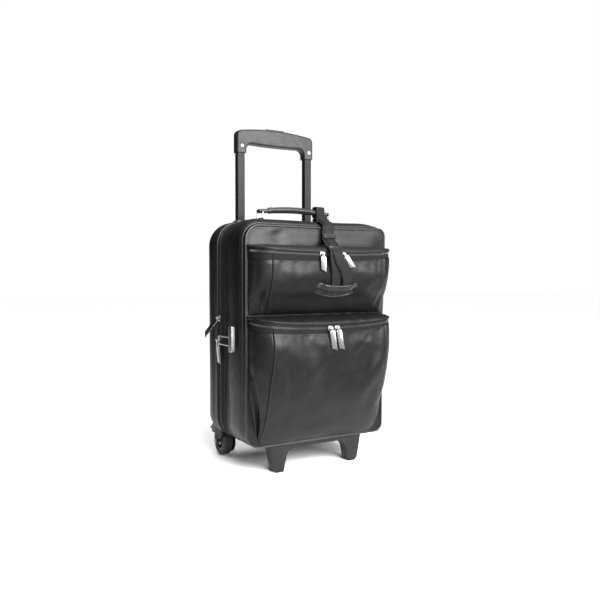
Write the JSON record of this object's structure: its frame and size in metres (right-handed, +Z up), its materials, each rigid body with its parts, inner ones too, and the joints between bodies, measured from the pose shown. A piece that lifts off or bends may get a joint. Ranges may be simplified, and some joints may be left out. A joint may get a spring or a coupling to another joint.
{
  "type": "rolling laptop case",
  "caption": "Upright wheeled leather case with zipped lid, bulging front pockets, telescoping trolley handle, leather carry handle, rear wheels and a front stand.",
  "frame": {"origin": "centre of the bounding box in plan, on the floor plane that the wheels and the front feet stand on", "axes": "+Z up, +Y towards the back panel and the trolley, +X to the right of somebody who faces the front pockets"},
  "size_m": [0.3922, 0.3103, 0.7945],
  "materials": {
    "leather": "satin",
    "piping": "satin",
    "tape": "matte",
    "webbing": "matte",
    "lining": "matte",
    "frame_plastic": "matte",
    "black_plastic": "satin",
    "grip_plastic": "satin",
    "button_plastic": "satin",
    "hub_plastic": "satin",
    "tyre": "matte",
    "tube_aluminium": "black anodised satin",
    "black_metal": "satin",
    "steel": "satin",
    "bright_metal": "polished",
    "pull_metal": "polished, lightly brushed",
    "slider_metal": "polished",
    "lock_metal": "satin"
  },
  "bodies": {
    "rear_case": {"rear_shell": "leather", "rear_frame_tray": "frame_plastic", "rear_zip_tape": "tape", "hinge_strip": "tape", "trolley_outer_tubes": "tube_aluminium", "trolley_bezel": "black_plastic", "trolley_foot_bracket": "black_plastic", "wheel_housings": "black_plastic", "wheel_axles": "steel", "rear_screws": "steel"},
    "lid": {"front_shell": "leather", "front_frame_board": "frame_plastic", "edge_piping": "piping", "front_zip_tape": "tape", "upper_pocket": "leather", "lower_pocket": "leather", "pocket_zip_tapes": "tape", "front_stand": "black_plastic", "stand_screws": "steel", "strap_patch": "leather", "patch_keeper": "leather", "patch_rivets": "bright_metal", "laptop_sleeve": "lining", "handle_anchors": "leather", "strap_webbing": "webbing", "strap_buckles": "black_metal"},
    "trolley": {"trolley_inner_tubes": "tube_aluminium", "grip_front_shell": "grip_plastic", "grip_rear_shell": "grip_plastic", "grip_rivets": "bright_metal", "tube_end_plugs": "black_plastic", "button_spring": "steel"},
    "release_button": {"release_button": "button_plastic", "push_rods": "steel"},
    "lock_plunger_left": {"lock_plunger_left": "steel"},
    "lock_plunger_right": {"lock_plunger_right": "steel"},
    "wheel_left": {"wheel_left_hub": "hub_plastic", "wheel_left_tyre": "tyre", "wheel_left_bearings": "steel"},
    "wheel_right": {"wheel_right_hub": "hub_plastic", "wheel_right_tyre": "tyre", "wheel_right_bearings": "steel"},
    "ring_left": {"ring_left": "bright_metal"},
    "ring_right": {"ring_right": "bright_metal"},
    "carry_handle": {"carry_handle_core": "steel", "carry_handle_leather": "leather"},
    "padlock_shackle": {"padlock_shackle": "bright_metal"},
    "padlock_body": {"padlock_body": "lock_metal"},
    "upper_slider_left": {"upper_slider_left": "slider_metal"},
    "upper_pull_left": {"upper_pull_left": "pull_metal"},
    "upper_slider_right": {"upper_slider_right": "slider_metal"},
    "upper_pull_right": {"upper_pull_right": "pull_metal"},
    "lower_slider_left": {"lower_slider_left": "slider_metal"},
    "lower_pull_left": {"lower_pull_left": "pull_metal"},
    "lower_slider_right": {"lower_slider_right": "slider_metal"},
    "lower_pull_right": {"lower_pull_right": "pull_metal"},
    "main_slider_upper": {"main_slider_upper": "slider_metal"},
    "main_pull_upper": {"main_pull_upper": "pull_metal"},
    "main_slider_lower": {"main_slider_lower": "slider_metal"},
    "main_pull_lower": {"main_pull_lower": "pull_metal"}
  },
  "joints": [
    {"name": "lid_open", "type": "hinge", "parent": "rear_case", "child": "lid", "pos_m": [0.012, 0.0436, 0.057], "axis": [1, 0, 0], "range_deg": [0, 100]},
    {"name": "trolley_slide", "type": "slide", "parent": "rear_case", "child": "trolley", "axis": [0, 0, 1], "range_m": [-0.16, 0.2]},
    {"name": "button_press", "type": "slide", "parent": "trolley", "child": "release_button", "axis": [0, 0, -1], "range_m": [0, 0.005], "stiffness_N_per_m": 600, "springref_m": -0.002, "deforming": ["button_spring"]},
    {"name": "plunger_left_slide", "type": "slide", "parent": "trolley", "child": "lock_plunger_left", "axis": [1, 0, 0], "range_m": [0, 0.003]},
    {"name": "plunger_right_slide", "type": "slide", "parent": "trolley", "child": "lock_plunger_right", "axis": [-1, 0, 0], "range_m": [0, 0.003]},
    {"name": "wheel_left_spin", "type": "hinge", "parent": "rear_case", "child": "wheel_left", "pos_m": [-0.131, 0.1196, 0.035], "axis": [1, 0, 0], "continuous": true},
    {"name": "wheel_right_spin", "type": "hinge", "parent": "rear_case", "child": "wheel_right", "pos_m": [0.155, 0.1196, 0.035], "axis": [1, 0, 0], "continuous": true},
    {"name": "ring_left_tilt", "type": "hinge", "parent": "lid", "child": "ring_left", "pos_m": [-0.078, 0.0246, 0.56], "axis": [0, 1, 0], "range_deg": [-25, 25]},
    {"name": "handle_level", "type": "hinge", "parent": "ring_left", "child": "carry_handle", "pos_m": [-0.078, 0.0246, 0.58], "axis": [0, 1, 0], "range_deg": [-25, 25]},
    {"name": "ring_right_tilt", "type": "hinge", "parent": "lid", "child": "ring_right", "pos_m": [0.102, 0.0246, 0.56], "axis": [0, 1, 0], "range_deg": [-25, 25]},
    {"name": "upper_zip_left", "type": "slide", "parent": "lid", "child": "upper_slider_left", "axis": [1, 0, 0], "range_m": [-0.085, 0]},
    {"name": "upper_pull_left_lift", "type": "hinge", "parent": "upper_slider_left", "child": "upper_pull_left", "pos_m": [-0.01, -0.1426, 0.477], "axis": [-0.9998, 0, -0.0175], "range_deg": [0, 120]},
    {"name": "upper_zip_right", "type": "slide", "parent": "lid", "child": "upper_slider_right", "axis": [1, 0, 0], "range_m": [0, 0.085]},
    {"name": "upper_pull_right_lift", "type": "hinge", "parent": "upper_slider_right", "child": "upper_pull_right", "pos_m": [0.044, -0.1426, 0.477], "axis": [-0.788, 0, -0.6157], "range_deg": [0, 120]},
    {"name": "lower_zip_left", "type": "slide", "parent": "lid", "child": "lower_slider_left", "axis": [1, 0, 0], "range_m": [-0.09, 0]},
    {"name": "lower_pull_left_lift", "type": "hinge", "parent": "lower_slider_left", "child": "lower_pull_left", "pos_m": [0.005, -0.1523, 0.318], "axis": [-0.9848, 0, -0.1736], "range_deg": [0, 120]},
    {"name": "lower_zip_right", "type": "slide", "parent": "lid", "child": "lower_slider_right", "axis": [1, 0, 0], "range_m": [0, 0.09]},
    {"name": "lower_pull_right_lift", "type": "hinge", "parent": "lower_slider_right", "child": "lower_pull_right", "pos_m": [0.022, -0.1523, 0.318], "axis": [-0.9781, 0, -0.2079], "range_deg": [0, 120]},
    {"name": "main_zip_upper", "type": "slide", "parent": "lid", "child": "main_slider_upper", "axis": [0, 0, 1], "range_m": [0, 0.15]},
    {"name": "main_pull_upper_lift", "type": "hinge", "parent": "main_slider_upper", "child": "main_pull_upper", "pos_m": [-0.178, 0.0436, 0.334], "axis": [0, 0.766, 0.6428], "range_deg": [-16, 95]},
    {"name": "main_zip_lower", "type": "slide", "parent": "lid", "child": "main_slider_lower", "axis": [0, 0, 1], "range_m": [-0.15, 0]},
    {"name": "main_pull_lower_lift", "type": "hinge", "parent": "main_slider_lower", "child": "main_pull_lower", "pos_m": [-0.178, 0.0436, 0.285], "axis": [0, 0.9703, -0.2419], "range_deg": [0, 110]},
    {"name": "padlock_swing", "type": "hinge", "parent": "main_slider_lower", "child": "padlock_shackle", "pos_m": [-0.181, 0.0306, 0.288], "axis": [1, 0, 0], "range_deg": [0, 30]},
    {"name": "padlock_open", "type": "slide", "parent": "padlock_shackle", "child": "padlock_body", "axis": [0, -1, 0], "range_m": [0, 0.008]}
  ],
  "couplings": [
    {"joint": "plunger_left_slide", "follows": "button_press", "ratio": 0.6},
    {"joint": "plunger_right_slide", "follows": "button_press", "ratio": 0.6},
    {"joint": "handle_level", "follows": "ring_left_tilt", "ratio": -1},
    {"joint": "ring_right_tilt", "follows": "ring_left_tilt", "ratio": 1}
  ]
}
